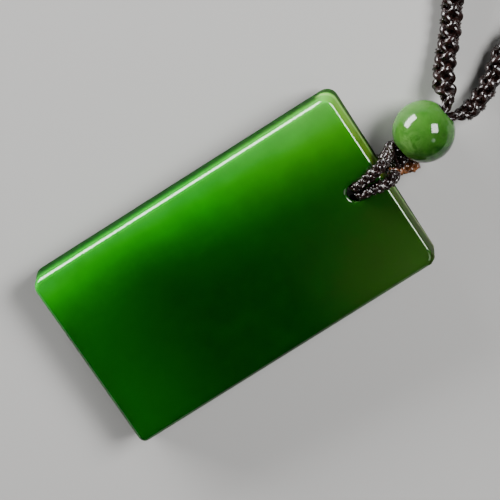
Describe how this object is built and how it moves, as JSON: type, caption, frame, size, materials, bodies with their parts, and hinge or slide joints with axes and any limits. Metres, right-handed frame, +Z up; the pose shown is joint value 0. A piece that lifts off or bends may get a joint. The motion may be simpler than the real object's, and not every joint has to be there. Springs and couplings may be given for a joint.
{
  "type": "jade pendant",
  "caption": "Plain green jade tablet pendant, laid on its back, with a jade bead and a plaited dark brown necklace cord",
  "frame": {"origin": "on the ground under the middle of the tablet, which lies on its back", "axes": "+Y along the tablet's length towards the end with the hole, +X across its width, +Z up, out of the front face"},
  "size_m": [0.0479, 0.1366, 0.01],
  "materials": {
    "tablet_jade": "high polish, translucent",
    "bead_jade": "high polish, translucent, mottled",
    "loop_cord": "twisted thread, slightly glossy",
    "necklace_rope": "plaited glossy thread"
  },
  "bodies": {
    "root": {"tablet": "tablet_jade", "bead": "bead_jade", "hanging_loop": "loop_cord", "necklace_left": "necklace_rope", "necklace_right": "necklace_rope", "necklace_coil": "necklace_rope"}
  },
  "joints": []
}
